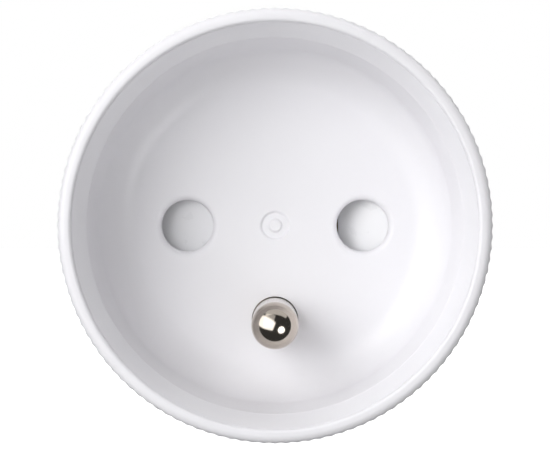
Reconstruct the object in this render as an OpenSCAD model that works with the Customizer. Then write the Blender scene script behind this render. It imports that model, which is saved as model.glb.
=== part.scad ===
// Plug-through power meter for a round outlet with an earth pin, as its separate pieces.
// Frame: +Z up, the outlet faces -Y, the plug pins point along +Y, origin on the plug face.
// Every piece is drawn on the device's own axis, x right, y up, z towards the outlet, and
// on_axis() turns it into the frame.

/* [Body] */
// Diameter of the body over its fine ribs
body_d = 44; // [43.8:0.1:45]
// Number of ribs round the body
rib_count = 120; // [60:2:160]
// Height of a rib from trough to crest
rib_h = 0.1; // [0.1:0.05:0.2]
// Distance from the plug face to the front rim
rim_z = 46; // [45:0.5:48]
// Distance from the plug face to the step where the wide body starts
step_z = 15; // [14:0.5:15]
// Rounding of the front rim outside, and of the heel
rim_round = 0.8; // [0.5:0.1:0.8]
// Rounding of the front rim inside
lip_round = 0.5; // [0.2:0.1:0.5]

/* [Outlet] */
// Depth of the recess that takes the plug
recess_depth = 15; // [15:0.5:16]
// Radius of the blend between the recess wall and its floor
recess_blend = 4; // [2:0.5:4]
// Spacing of the two pin holes
hole_spacing = 19; // [18.5:0.1:19.5]
// Diameter of a pin hole
hole_d = 5.6; // [5.4:0.1:5.8]
// How far below the axis the earth pin stands
earth_drop = 10.2; // [9.9:0.1:10.3]
// How far the earth pin stands out of the recess floor
earth_proud = 14; // [13:0.5:14]

/* [Plug] */
// Diameter of the part that enters the wall outlet
plug_d = 36.6; // [36.4:0.1:36.6]
// Diameter of every contact pin
pin_d = 4.8; // [4.7:0.05:4.8]
// Length of the live and neutral pins beyond the plug face
pin_length = 19; // [18:0.5:19]

/* [Moving parts] */
// How far a plug pushes the safety shutter aside
shutter_travel = 5.8; // [5.6:0.1:5.9]
// Diameter of the button in the side of the body
button_d = 5; // [4:0.2:5]

/* [Hidden] */

$fn = 64;
gap = 0.05;                 // between fixed pieces that fit into each other
wall = 1;                   // moulded wall thickness
shell_wall = 1.35;          // wall of the ribbed body
over = 1;                   // how far a cut runs past the face it opens
pin_r = pin_d / 2;
pin_x = hole_spacing / 2;
bore_r = pin_r + gap;       // inside of every contact sleeve
sleeve_r = bore_r + 0.5;    // outside of every contact sleeve

body_r = body_d / 2;
core_r = body_r - rib_h - gap;   // smooth body that the ribs stand on
shell_bore_r = core_r - shell_wall;
ring_r = shell_bore_r - gap;     // outside of the light ring
insert_r = ring_r - 0.55;        // outside of the socket insert
recess_r = insert_r - wall;      // recess wall where it meets the blend
floor_z = rim_z - recess_depth;
band_low_z = rim_z - 5;          // lower edge of the visible light band
band_low_r = recess_r + 0.53;

shutter_top = floor_z - wall - 0.1;
shutter_low = shutter_top - 4;   // underside of the slide
ramp_drop = 2.2;
shutter_left = -12.6;            // outer edge of the left blade
shutter_right = 12.6;
left_blade_w = 6.1;
right_blade_w = 5.64;
blade_half_y = 3.4;
slide_half_y = 5;
stop_x = shutter_right + shutter_travel + 0.1;   // end stop that the pushed slide meets
cover_z = shutter_low - 0.1;     // top of the shutter cover
cover_t = 1.6;
spring_r = 1.3;
spring_wire_r = 0.15;
spring_turns = 9;
spring_z = shutter_low + 1.7;
spring_start = shutter_left + left_blade_w + gap;
spring_end = 5.2;
control_z = cover_z - cover_t - 1.3;   // rear face of the control board
board_t = 1;
boss_r = 1.9;
boss_places = [[0, 12.5], [12.5, -9.5], [-12.5, -9.5]];

plug_r = plug_d / 2;
plug_floor = 2.2;
cavity_r = plug_r - 1.7;
flange_z = step_z + wall + 0.7;
groove_half = 2.7;
clip_half = 3.2;                 // half width of the pocket of an earth clip
pocket_y = plug_r - 2.2;
power_z = 6;                     // rear face of the power board
power_t = 1.6;
power_r = cavity_r - 0.4;
parts_z = power_z + power_t + gap;   // where the components stand
plate_z = plug_floor + 0.1;
plate_t = 0.8;
post_places = [[-11.8, 7.5], [12.2, -4.8]];
button_z = control_z - 1.8;
button_r = button_d / 2;
plunger_r = 1.2;
switch_top = 18.2;
led_count = 8;
header_place = [10.6, 4.8];      // first pin of the strip between the boards
header_pitch = 1.27;
header_pins = 4;

// Turns the device's own axis into the frame: its z runs along -Y and its y along +Z.
module on_axis() rotate([90, 0, 0]) children();

// What a quarter circle of radius r leaves of a square corner.
module corner_cut(r) difference() {
    square(2 * r);
    circle(r);
}

// A round bar along z from z0 to z1.
module bar(r, z0, z1) translate([0, 0, z0]) cylinder(r = r, h = z1 - z0);

// A box given by its lowest corner and its highest corner.
module block(low, high) translate(low) cube(high - low);

// A straight pin with a round tip, from z0 to the top of the tip at z1.
module round_pin(r, z0, z1) rotate_extrude() intersection() {
    union() {
        translate([0, z0]) square([r, z1 - r - z0]);
        translate([0, z1 - r]) circle(r);
    }
    translate([0, z0]) square([r, z1 - z0]);
}

// Fine ribs: a zigzag outline with a crest and a trough for each rib.
function rib_outline(n, crest, trough) =
    [for (i = [0:2 * n - 1]) let (r = i % 2 == 0 ? crest : trough, a = 180 * i / n)
        [r * cos(a), r * sin(a)]];

// Smooth tube with rounded ends, a ribbed band round it, a rear wall and the button's hole.
module housing_shell() color([0.96, 0.96, 0.97]) on_axis() difference() {
    union() {
        rotate_extrude($fn = 128) difference() {
            translate([plug_r + 0.15, step_z]) square([core_r - plug_r - 0.15, rim_z - step_z]);
            translate([0, step_z + wall]) square([shell_bore_r, rim_z - step_z]);
            translate([core_r - rim_round, rim_z - rim_round]) corner_cut(rim_round);
            translate([shell_bore_r + lip_round, rim_z - lip_round]) mirror([1, 0]) corner_cut(lip_round);
            translate([core_r - rim_round, step_z + rim_round]) mirror([0, 1]) corner_cut(rim_round);
        }
        translate([0, 0, step_z + 1.4 * rim_round]) linear_extrude(rim_z - step_z - 2.6 * rim_round)
            difference() {
                polygon(rib_outline(rib_count, body_r, body_r - rib_h));
                circle(core_r - shell_wall / 2, $fn = 128);
            }
    }
    translate([0, shell_bore_r - 2, button_z]) rotate([-90, 0, 0]) cylinder(r = button_r + 0.12, h = 5);
}

// Translucent ring: the band inside the rim, and a thin skirt that brings the light to it.
module light_ring() color([0.9, 0.91, 0.93]) on_axis() rotate_extrude($fn = 128) polygon([
    [ring_r, control_z + 2.3], [ring_r, rim_z - 0.6], [ring_r - 0.1, rim_z - 0.6],
    [band_low_r, band_low_z], [insert_r + gap, band_low_z], [insert_r + gap, control_z + 2.3]]);

// The bowl of the recess: wall, blend and floor, with the pin holes and the screw bosses.
module socket_insert() color([0.97, 0.97, 0.98]) on_axis() {
    blend_z = floor_z + recess_blend;
    blend_r = recess_r - recess_blend;
    top_z = band_low_z - gap;
    mark_r = 1.52;      // recessed moulding mark in the middle, with a nub in it
    mark_depth = 0.3;
    nub_r = 0.7;
    hole_lip = 0.35;    // lead-in round a pin hole
    difference() {
        union() {
            rotate_extrude($fn = 128) difference() {
                union() {
                    translate([0, blend_z]) square([insert_r, top_z - blend_z]);
                    translate([0, floor_z - wall]) square([blend_r, recess_blend + wall]);
                    intersection() {
                        translate([blend_r, blend_z]) circle(recess_blend + wall);
                        square([insert_r, top_z]);
                    }
                }
                polygon([[0, blend_z], [recess_r, blend_z], [band_low_r, top_z], [band_low_r, top_z + over],
                    [0, top_z + over]]);
                translate([0, floor_z]) square([blend_r, recess_blend + gap]);
                intersection() {
                    translate([blend_r, blend_z]) circle(recess_blend);
                    translate([0, floor_z]) square([recess_r, recess_blend]);
                }
            }
            for (p = boss_places) translate(p) bar(boss_r, cover_z + gap, floor_z - 0.1);
        }
        for (side = [-1, 1]) translate([side * pin_x, 0, 0]) {
            bar(hole_d / 2, floor_z - 2 * wall, floor_z + over);
            translate([0, 0, floor_z + gap - hole_lip])
                cylinder(r1 = hole_d / 2, r2 = hole_d / 2 + hole_lip, h = hole_lip);
        }
        translate([0, -earth_drop, 0]) bar(pin_r + 0.12, floor_z - 2 * wall, floor_z + over);
        for (p = boss_places) translate(p) bar(0.85, cover_z - over, floor_z - 0.9);
        difference() {
            bar(mark_r, floor_z - mark_depth, floor_z + over);
            bar(nub_r, floor_z - wall, floor_z - gap);
        }
    }
}

// Earth pin of the outlet, with the collar that holds it under the floor and its rivet shank.
module earth_pin() color([0.78, 0.76, 0.73]) on_axis() translate([0, -earth_drop, 0]) {
    round_pin(pin_r, floor_z, floor_z + earth_proud);
    bar(pin_r - 0.3, floor_z - wall - 0.1, floor_z);
    bar(pin_r + 0.8, floor_z - wall - 1.6, floor_z - wall - 0.1);
    bar(1.5, control_z - 3.6, floor_z - wall - 1.6);
}

// One blade: a wedge whose face falls to the left, so that a pin pushes it to the right.
module shutter_blade(left, width) translate([left, blade_half_y, 0]) rotate([90, 0, 0])
    linear_extrude(2 * blade_half_y) polygon([[0, shutter_low], [width, shutter_low],
        [width, shutter_top], [0, shutter_top - ramp_drop]]);

module shutter_slide() color([0.93, 0.93, 0.94]) on_axis() {
    shutter_blade(shutter_left, left_blade_w);
    shutter_blade(shutter_right - right_blade_w, right_blade_w);
    for (side = [0, 1]) mirror([0, side, 0]) block([shutter_left, blade_half_y, shutter_low],
        [shutter_right, slide_half_y, shutter_low + 2]);
}

// Rings of points along a helix, joined into one closed tube.
function helix_ring(t, sides) = let (a = 360 * spring_turns * t, x = spring_start + spring_wire_r
        + (spring_end - spring_start - 2 * spring_wire_r) * t)
    [for (k = [0:sides - 1]) let (b = 360 * k / sides, r = spring_r + spring_wire_r * cos(b))
        [x + spring_wire_r * sin(b), r * cos(a), spring_z + r * sin(a)]];

module shutter_spring() color([0.7, 0.71, 0.73]) on_axis() {
    sides = 6;
    rings = 14 * spring_turns;
    points = [for (i = [0:rings]) each helix_ring(i / rings, sides)];
    faces = concat([[for (k = [0:sides - 1]) k]],
        [for (i = [0:rings - 1], k = [0:sides - 1]) let (n = (k + 1) % sides)
            [i * sides + k, (i + 1) * sides + k, (i + 1) * sides + n, i * sides + n]],
        [[for (k = [sides - 1:-1:0]) rings * sides + k]]);
    polyhedron(points, faces, convexity = 4);
}

// Retainer behind the slide: plate, guide rails, end stops and the post that holds the spring.
module shutter_cover() color([0.88, 0.88, 0.9]) on_axis() difference() {
    union() {
        bar(insert_r - 0.9, cover_z - cover_t, cover_z);
        for (side = [0, 1]) mirror([0, side, 0])
            block([-14, slide_half_y + 0.2, cover_z - gap], [14, slide_half_y + 1.2, shutter_top]);
        block([-14, -slide_half_y, cover_z - gap], [shutter_left - 0.2, slide_half_y, cover_z + 2]);
        block([stop_x, -3, cover_z - gap], [stop_x + 0.4, 3, cover_z + 2]);
        block([spring_end + gap, -spring_r, cover_z - gap], [spring_end + 1, spring_r, cover_z + 3]);
    }
    for (side = [-1, 1]) translate([side * pin_x, 0, 0]) bar(3, cover_z - cover_t - over, cover_z + over);
    translate([0, -earth_drop, 0]) bar(1.8, cover_z - cover_t - over, cover_z + over);
    for (p = boss_places) translate(p) bar(0.95, cover_z - cover_t - over, cover_z + over);
}

// A cross-head screw: head from z0, shank up to z1.
module screw(head_r, head_h, shank_r, z0, z1) difference() {
    union() {
        bar(head_r, z0, z0 + head_h);
        bar(shank_r, z0 + head_h, z1);
    }
    for (turn = [0, 90]) rotate(turn)
        block([-0.7 * head_r, -0.15, z0 - over], [0.7 * head_r, 0.15, z0 + 0.5 * head_h]);
}

module cover_screws() color([0.6, 0.62, 0.65]) on_axis() for (p = boss_places) translate(p)
    screw(1.6, 1, 0.8, cover_z - cover_t - gap - 1, floor_z - 1.2);

// Slotted contact sleeve behind a pin hole, with a closed foot and a solder tail.
module outlet_contact(side) color([0.8, 0.66, 0.35]) on_axis() translate([side * pin_x, 0, 0]) {
    foot_z = 11.4;
    mouth_z = cover_z - cover_t - 0.2;
    difference() {
        bar(sleeve_r, foot_z, mouth_z);
        bar(bore_r, foot_z + 0.8, mouth_z + over);
        block([-sleeve_r - over, -0.4, foot_z + 3], [sleeve_r + over, 0.4, mouth_z + over]);
    }
    block([-1.5, 1.8, power_z - 0.6], [1.5, 2.5, foot_z + gap]);
}

module live_contact() outlet_contact(1);
module neutral_contact() outlet_contact(-1);

// Bracket from the rivet shank of the earth pin down to the earth plate.
module earth_riser() color([0.75, 0.5, 0.32]) on_axis() {
    top_z = control_z - 3;
    leg_y = -14.2;
    difference() {
        block([-2.2, leg_y, top_z], [2.2, -earth_drop + 2.6, top_z + 0.8]);
        translate([0, -earth_drop, 0]) bar(1.55, top_z - over, top_z + 2);
    }
    block([-2.2, leg_y, plate_z + plate_t], [2.2, leg_y + 0.8, top_z + 0.8]);
}

// Stamped plate on the plug floor, from clip to clip, round the rear earth sleeve.
module earth_plate() color([0.75, 0.5, 0.32]) on_axis() difference() {
    union() {
        block([-2.2, -pocket_y, plate_z], [2.2, pocket_y, plate_z + plate_t]);
        translate([0, -earth_drop, 0]) bar(sleeve_r + 1.4, plate_z, plate_z + plate_t);
    }
    translate([0, -earth_drop, 0]) bar(sleeve_r + gap, plate_z - over, plate_z + plate_t + over);
}

// Sleeve that takes the earth pin of the wall outlet.
module rear_earth_sleeve() color([0.8, 0.66, 0.35]) on_axis() translate([0, -earth_drop, 0])
    difference() {
        bar(sleeve_r, 0.6, 15);
        bar(bore_r, 0.6 - over, 15 + over);
        block([-sleeve_r - over, -0.25, 9], [sleeve_r + over, 0.25, 15 + over]);
    }

// Bowed side contact in its pocket, drawn for the top of the plug.
module earth_clip() {
    low = 1;
    high = 12.4;
    steps = 16;
    bow = 1.55;
    t = 0.5;
    foot = pocket_y + gap;
    strip_half = 2.2;
    back = [for (i = [0:steps]) [foot + bow * sin(180 * i / steps), low + (high - low) * i / steps]];
    front = [for (i = [steps:-1:0]) back[i] + [t, 0]];
    translate([-strip_half, 0, 0]) rotate([90, 0, 90]) linear_extrude(2 * strip_half)
        polygon(concat(back, front));
}

module upper_earth_clip() color([0.8, 0.8, 0.78]) on_axis() earth_clip();
module lower_earth_clip() color([0.8, 0.8, 0.78]) on_axis() mirror([0, 1, 0]) earth_clip();

// The part that enters the wall outlet: a cup with a flange, guide grooves, clip pockets and posts.
module plug_base() color([0.95, 0.95, 0.96]) on_axis() difference() {
    union() {
        difference() {
            union() {
                translate([0, 0, 1]) bar(plug_r, 0, flange_z - 1 + gap);
                cylinder(r1 = plug_r - 1, r2 = plug_r, h = 1);
                bar(ring_r, flange_z, flange_z + 1.5);
            }
            bar(cavity_r, plug_floor, flange_z + 1.5 + over);
        }
        intersection() {
            union() {
                for (side = [0, 1]) mirror([side, 0, 0])
                    block([15, -groove_half - 1, 1], [18, groove_half + 1, flange_z]);
                for (side = [0, 1]) mirror([0, side, 0])
                    block([-clip_half - 1, pocket_y - wall, 1], [clip_half + 1, 18, flange_z]);
            }
            bar(plug_r - gap, 0, flange_z + gap);
        }
        for (p = post_places) translate(p) bar(1.7, plug_floor - gap, power_z - gap);
    }
    for (side = [0, 1]) mirror([side, 0, 0])
        block([plug_r - 2.1, -groove_half, -over], [plug_r + over, groove_half, step_z - 1]);
    for (side = [0, 1]) mirror([0, side, 0]) {
        block([-clip_half, pocket_y, 0.6], [clip_half, plug_r + over, 13]);
        block([-2.25, pocket_y - 2 * wall, plate_z - gap], [2.25, pocket_y + gap, plate_z + plate_t + gap]);
    }
    for (side = [-1, 1]) translate([side * pin_x, 0, 0]) bar(pin_r + 0.35, -over, plug_floor + over);
    translate([0, -earth_drop, 0]) {
        bar(pin_r + 0.2, -over, plug_floor + over);
        bar(sleeve_r + gap, 0.5, plug_floor + over);
        translate([0, 0, -gap]) cylinder(r1 = pin_r + 0.65, r2 = pin_r + 0.2, h = 0.45);
    }
    for (p = post_places) translate(p) bar(0.75, 2.8, power_z + over);
}

// Plug pin with a moulded-in collar, a head inside the plug and a stub soldered into the board.
module plug_pin(side) color([0.8, 0.78, 0.74]) on_axis() translate([side * pin_x, 0, 0]) {
    mirror([0, 0, 1]) round_pin(pin_r, 0, pin_length);
    bar(pin_r + 0.3, 0, plug_floor + gap);
    bar(3.4, plug_floor + gap, plug_floor + 1);
    bar(1.2, plug_floor + 1, parts_z + 0.8);
}

module live_pin() plug_pin(1);
module neutral_pin() plug_pin(-1);

// Holes for the pin strip, through a board of thickness t whose rear face is at z.
module header_holes(z, t) for (i = [0:header_pins - 1]) translate(header_place + [0, header_pitch * i])
    bar(0.5, z - over, z + t + over);

module power_board() color([0.1, 0.42, 0.22]) on_axis() difference() {
    bar(power_r, power_z, power_z + power_t);
    for (side = [0, 1]) mirror([side, 0, 0])
        block([14.8, -4.2, power_z - over], [18, 4.2, power_z + 2 * power_t]);
    for (side = [0, 1]) mirror([0, side, 0])
        block([-4.5, 14.9, power_z - over], [4.5, 18, power_z + 2 * power_t]);
    block([-2.6, -18, power_z - over], [2.6, -13, power_z + 2 * power_t]);
    translate([0, -earth_drop, 0]) bar(sleeve_r + 0.5, power_z - over, power_z + 2 * power_t);
    for (side = [-1, 1]) translate([side * pin_x, 0, 0]) {
        bar(1.3, power_z - over, power_z + 2 * power_t);
        block([-1.6, 1.7, power_z - over], [1.6, 2.6, power_z + 2 * power_t]);
    }
    for (p = post_places) translate(p) bar(0.8, power_z - over, power_z + 2 * power_t);
    header_holes(power_z, power_t);
}

module board_screws() color([0.6, 0.62, 0.65]) on_axis() for (p = post_places) translate(p)
    translate([0, 0, parts_z + 0.9]) mirror([0, 0, 1]) screw(1.5, 0.9, 0.7, 0, 5);

module relay() color([0.12, 0.13, 0.15]) on_axis() {
    block([-8.8, 4, parts_z + 0.3], [8.8, 13.6, parts_z + 12.4]);
    for (x = [-7.6, -2.5, 2.5, 7.6], y = [5.2, 12.4])
        translate([x, y, 0]) bar(0.4, power_z + power_t + gap, parts_z + 0.35);
}

// Ferrite core, coil former and taped winding, turned to face the wall of the plug.
module transformer() color([0.85, 0.75, 0.3]) on_axis() translate([8.5, -8.5, parts_z]) rotate(45) {
    block([-3.5, -3.5, 0], [3.5, 3.5, 1.2]);
    block([-2.6, -3.4, 1.2], [2.6, 3.4, 8]);
    for (side = [0, 1]) mirror([side, 0, 0]) block([2.55, -2.2, 1.2], [3.6, 2.2, 9]);
    block([-3.6, -2.2, 8], [3.6, 2.2, 9]);
}

module mains_capacitor() color([0.86, 0.86, 0.84]) on_axis() {
    block([-5, -1.6, parts_z + 0.3], [5, 3, parts_z + 8.4]);
    for (side = [-1, 1]) translate([side * 3.75, 0.7, 0]) bar(0.35, parts_z, parts_z + 0.35);
}

// Aluminium can with its rolled neck and rubber seal.
module bulk_capacitor() color([0.2, 0.25, 0.4]) on_axis() translate([-8.5, -8.5, parts_z]) {
    bar(3.15, 0.4, 1.4);
    bar(2.9, 1.35, 1.9);
    bar(3.15, 1.85, 11);
    for (side = [-1, 1]) translate([side * 1.25, 0, 0]) bar(0.3, 0, 0.45);
}

module fuse_resistor() color([0.35, 0.5, 0.35]) on_axis() translate([0, -4.4, parts_z + 1.7]) {
    rotate([0, 90, 0]) bar(1.4, -3, 3);
    for (side = [0, 1]) mirror([side, 0, 0]) {
        rotate([0, 90, 0]) bar(0.3, 3, 4.2);
        translate([4, 0, 0]) bar(0.3, -1.7, 0.2);
    }
}

// Folded resistance strip that the load current runs through.
module current_shunt() color([0.72, 0.6, 0.5]) on_axis() {
    block([3.4, 5, power_z - 2.1], [8.4, 7.4, power_z - 1.4]);
    for (x = [3.4, 7.6]) block([x, 5, power_z - 2.1], [x + 0.8, 7.4, power_z - gap]);
}

module meter_chip() color([0.13, 0.13, 0.14]) on_axis() {
    block([-8, 4.4, power_z - 1.6], [-4.2, 9.2, power_z - 0.2]);
    for (x = [-8.8, -4.3], i = [0:7])
        block([x, 4.5 + 0.6 * i, power_z - 0.8], [x + 0.9, 4.8 + 0.6 * i, power_z - gap]);
}

// Pin strip that joins the two boards.
module board_header() color([0.85, 0.7, 0.4]) on_axis() {
    translate(header_place) {
        block([-1, -0.7, parts_z], [1, header_pitch * (header_pins - 1) + 0.7, parts_z + 2]);
        for (i = [0:header_pins - 1]) translate([0, header_pitch * i, 0])
            block([-0.3, -0.3, power_z - 0.6], [0.3, 0.3, control_z + board_t + 0.2]);
    }
}

module control_board() color([0.1, 0.42, 0.22]) on_axis() difference() {
    bar(ring_r - 0.1, control_z, control_z + board_t);
    block([-3.7, 18.5, control_z - over], [3.7, 22, control_z + 2 * board_t]);
    for (side = [-1, 1]) translate([side * pin_x, 0, 0])
        bar(sleeve_r + 0.5, control_z - over, control_z + 2 * board_t);
    translate([0, -earth_drop, 0]) bar(2.4, control_z - over, control_z + 2 * board_t);
    for (p = boss_places) translate(p) bar(1.9, control_z - over, control_z + 2 * board_t);
    header_holes(control_z, board_t);
}

// Radio and processor under a shielding can.
module radio_module() color([0.7, 0.71, 0.72]) on_axis() {
    block([-5.6, -5.6, control_z - 0.8], [5.6, 6, control_z - gap]);
    block([-4.8, -5, control_z - 2.3], [4.8, 2.6, control_z - 0.8]);
}

module indicator_leds() color([0.95, 0.95, 0.8]) on_axis() for (i = [0:led_count - 1])
    rotate((i + 0.5) * 360 / led_count) translate([ring_r - 0.7, 0, control_z + board_t + gap])
        block([-0.5, -0.8, 0], [0.5, 0.8, 0.7]);

module tact_switch() color([0.15, 0.15, 0.16]) on_axis() difference() {
    block([-3, 14.4, control_z - 3.5], [3, switch_top, control_z - gap]);
    translate([0, switch_top, button_z]) rotate([90, 0, 0]) bar(plunger_r + 0.1, -over, 1.8);
}

module switch_plunger() color([0.2, 0.2, 0.2]) on_axis() translate([0, 0, button_z])
    rotate([-90, 0, 0]) bar(plunger_r, switch_top - 1, switch_top + 0.8);

// Button whose face follows the round body, with wings that keep it in.
module button_cap() color([0.94, 0.94, 0.95]) on_axis() {
    intersection() {
        translate([0, 0, button_z]) rotate([-90, 0, 0]) bar(button_r, switch_top + 0.8, body_r + over);
        translate([0, 0, button_z - 2 * button_r]) cylinder(r = body_r - 0.1, h = 4 * button_r, $fn = 128);
    }
    block([-button_r - 0.8, switch_top + 0.8, button_z - 1.4],
        [button_r + 0.8, switch_top + 1.6, button_z + 1.4]);
}

housing_shell();
light_ring();
socket_insert();
earth_pin();
shutter_slide();
shutter_spring();
shutter_cover();
cover_screws();
live_contact();
neutral_contact();
earth_riser();
earth_plate();
rear_earth_sleeve();
upper_earth_clip();
lower_earth_clip();
plug_base();
live_pin();
neutral_pin();
power_board();
board_screws();
relay();
transformer();
mains_capacitor();
bulk_capacitor();
fuse_resistor();
current_shunt();
meter_chip();
board_header();
control_board();
radio_module();
indicator_leds();
tact_switch();
switch_plunger();
button_cap();
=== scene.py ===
import math

import bmesh
import bpy
import numpy as np
from mathutils import Matrix, Vector


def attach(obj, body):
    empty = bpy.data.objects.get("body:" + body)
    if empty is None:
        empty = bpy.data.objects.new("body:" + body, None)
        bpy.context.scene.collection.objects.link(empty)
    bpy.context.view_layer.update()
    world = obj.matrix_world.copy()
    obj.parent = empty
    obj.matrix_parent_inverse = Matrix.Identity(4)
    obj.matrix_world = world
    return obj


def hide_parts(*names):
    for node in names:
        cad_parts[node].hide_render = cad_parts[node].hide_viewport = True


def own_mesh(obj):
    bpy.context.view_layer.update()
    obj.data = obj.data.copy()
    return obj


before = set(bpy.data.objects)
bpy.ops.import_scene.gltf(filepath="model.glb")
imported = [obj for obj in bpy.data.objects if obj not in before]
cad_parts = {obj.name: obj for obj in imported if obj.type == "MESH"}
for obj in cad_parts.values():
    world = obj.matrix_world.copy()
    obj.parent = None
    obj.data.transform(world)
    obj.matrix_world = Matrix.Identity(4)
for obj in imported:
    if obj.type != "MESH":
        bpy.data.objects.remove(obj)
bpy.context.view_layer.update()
print("frame loaded:", len(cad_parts), "nodes")

mm = 0.001
quarterTurn = np.linspace(0, np.pi / 2, 25)[:, None]  # angles of a smooth quarter circle


# Turns the device's own axis (x right, y up, z towards the outlet, in mm) into the frame, in metres.
def toFrame(points):
    points = np.asarray(points, float)
    return np.stack([points[..., 0], -points[..., 2], points[..., 1]], -1) * mm


# A new object in the scene, with its mesh, light or camera.
def addObject(name, data):
    item = bpy.data.objects.new(name, data)
    bpy.context.scene.collection.objects.link(item)
    return item


# Makes one object from points on the device's axis and a list of face arrays, with its faces turned outwards.
def addPiece(name, points, faces, material):
    mesh = bpy.data.meshes.new(name)
    mesh.from_pydata(toFrame(points).tolist(), [], [f for part in faces for f in part.tolist()])
    work = bmesh.new()
    work.from_mesh(mesh)
    bmesh.ops.recalc_face_normals(work, faces=work.faces)
    work.to_mesh(mesh)
    work.free()
    mesh.polygons.foreach_set("use_smooth", np.full(len(mesh.polygons), True))
    mesh.materials.append(material)
    return addObject(name, mesh)


# A piece that stands for CAD nodes: it rides on their body and the nodes are hidden; the slot's name is not
# used.
def standFor(piece, body, slotName, *nodes):
    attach(piece, body)
    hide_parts(*nodes)
    return piece


# Puts several (points, faces) shells into one list of points and one list of faces.
def joinShells(shells):
    points, faces, start = [], [], 0
    for shellPoints, shellFaces in shells:
        flatPoints = np.asarray(shellPoints, float).reshape(-1, 3)
        points.append(flatPoints)
        faces += [part + start for part in shellFaces]
        start += len(flatPoints)
    return np.concatenate(points), faces


# Rounds the corners of an outline. Each row is (radius, height, rounding). A corner becomes an arc between
# its two tangent points, with one more point on each side that keeps the flats flat in smooth shading.
def roundOutline(rows, closed=False, steps=6):
    rows = np.asarray(rows, float)
    count = len(rows)
    corners, rounding = rows[:, :2], rows[:, 2].copy()
    if not closed:
        rounding[[0, -1]] = 0
    length = np.linalg.norm(np.roll(corners, -1, 0) - corners, axis=1)
    ahead = (np.roll(corners, -1, 0) - corners) / length[:, None]
    back = -np.roll(ahead, 1, 0)
    half = np.arccos(np.clip((back * ahead).sum(1), -0.999999, 0.999999)) / 2
    reach = rounding / np.tan(half)
    spare = 0.4 * (length - reach - np.roll(reach, -1))
    line = []
    for i in range(count):
        if rounding[i] <= 0:
            line.append(corners[i:i + 1])
            continue
        inward = (back[i] + ahead[i]) / np.linalg.norm(back[i] + ahead[i])
        middle = corners[i] + inward * rounding[i] / math.sin(half[i])
        start, end = corners[i] + back[i] * reach[i] - middle, corners[i] + ahead[i] * reach[i] - middle
        turn = math.pi - 2 * half[i]
        s = np.linspace(0, 1, steps + 1)[:, None]
        arc = middle + (np.sin((1 - s) * turn) * start + np.sin(s * turn) * end) / math.sin(turn)
        before, after = min(0.25 * rounding[i], spare[i - 1]), min(0.25 * rounding[i], spare[i])
        line.append(np.concatenate([arc[:1] + back[i] * before, arc, arc[-1:] + ahead[i] * after]))
    return np.concatenate(line)


# Turns an outline about the device's axis. Rows on the axis become one pole point each; a closed outline
# has none.
def turnOutline(outline, count, centre=(0, 0), closed=False):
    outline = np.asarray(outline, float)
    rings = outline[outline[:, 0] > 1e-9]
    angle = np.linspace(0, 2 * np.pi, count, endpoint=False)
    grid = np.stack([rings[:, :1] * np.cos(angle) + centre[0], rings[:, :1] * np.sin(angle) + centre[1],
                     np.repeat(rings[:, 1:2], count, 1)], -1)
    faces = [gridFaces(len(rings), count, closed).reshape(-1, 4)]
    points = grid.reshape(-1, 3)
    column = np.arange(count)
    for pole, row in ((outline[0], 0), (outline[-1], len(rings) - 1)):
        if not closed and pole[0] <= 1e-9:
            points = np.concatenate([points, [[centre[0], centre[1], pole[1]]]])
            tip = np.full(count, len(points) - 1)
            faces.append(np.stack([row * count + column, row * count + (column + 1) % count, tip], -1))
    return points, faces


# Four corner numbers for each cell of a grid of rows that close round on themselves.
def gridFaces(rows, columns, closed=False):
    row, column = np.meshgrid(np.arange(rows if closed else rows - 1), np.arange(columns), indexing="ij")
    nextRow, nextColumn = (row + 1) % rows, (column + 1) % columns
    return np.stack([row * columns + column, row * columns + nextColumn,
                     nextRow * columns + nextColumn, nextRow * columns + column], -1)


# The numbers of the points round a window in a grid, in order. rows and columns are the grid lines it spans.
def windowEdge(rows, columns, count):
    r, c = len(rows) - 1, len(columns) - 1
    rowStep = np.concatenate([np.zeros(c, int), np.arange(r), np.full(c, r), np.arange(r, 0, -1)])
    columnStep = np.concatenate([np.arange(c), np.full(r, c), np.arange(c, 0, -1), np.zeros(r, int)])
    return np.asarray(rows)[rowStep] * count + np.asarray(columns)[columnStep] % count


# Leaves out the cells of a grid that lie in a window.
def openWindow(keep, rows, columns):
    low = min(rows)
    keep[low:max(rows), np.asarray(columns[:-1]) % keep.shape[1]] = False


# Joins the edges of two windows by rings of new points: a tunnel from one side of a wall to the other.
def tunnelFaces(firstEdge, rings, lastEdge, start):
    count = len(firstEdge)
    inner = start + np.arange(len(rings) * count).reshape(len(rings), count)
    lines = np.concatenate([firstEdge[None], inner, lastEdge[None]])
    ahead = np.roll(lines, -1, 1)
    return np.stack([lines[:-1], ahead[:-1], ahead[1:], lines[1:]], -1).reshape(-1, 4)


# Gives a node its inputs: a socket is linked, anything else is a fixed value.
def setInputs(tree, node, inputs):
    for key, value in inputs.items():
        if isinstance(value, bpy.types.NodeSocket):
            tree.links.new(value, node.inputs[key])
        else:
            node.inputs[key].default_value = value


# Adds a node with its options and inputs.
def addNode(tree, kind, inputs=None, **options):
    node = tree.nodes.new(kind)
    for key, value in options.items():
        setattr(node, key, value)
    setInputs(tree, node, inputs or {})
    return node


# A new material with its node tree, its shader and the object coordinates in it.
def startMaterial(name):
    material = bpy.data.materials.new(name)
    material.use_nodes = True
    tree = material.node_tree
    place = addNode(tree, "ShaderNodeTexCoord").outputs["Object"]
    return material, tree, tree.nodes["Principled BSDF"], place


# Object coordinates stretched by a factor on each axis.
def stretched(tree, place, factors):
    return addNode(tree, "ShaderNodeVectorMath", {0: place, 1: factors}, operation="MULTIPLY").outputs[0]


# A value that goes from low to high while another one goes from start to end, straight or in an S-curve.
def ranged(tree, value, low, high, start=0.0, end=1.0, curve="LINEAR"):
    inputs = {"Value": value, "From Min": start, "From Max": end, "To Min": low, "To Max": high}
    return addNode(tree, "ShaderNodeMapRange", inputs, interpolation_type=curve).outputs["Result"]


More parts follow.
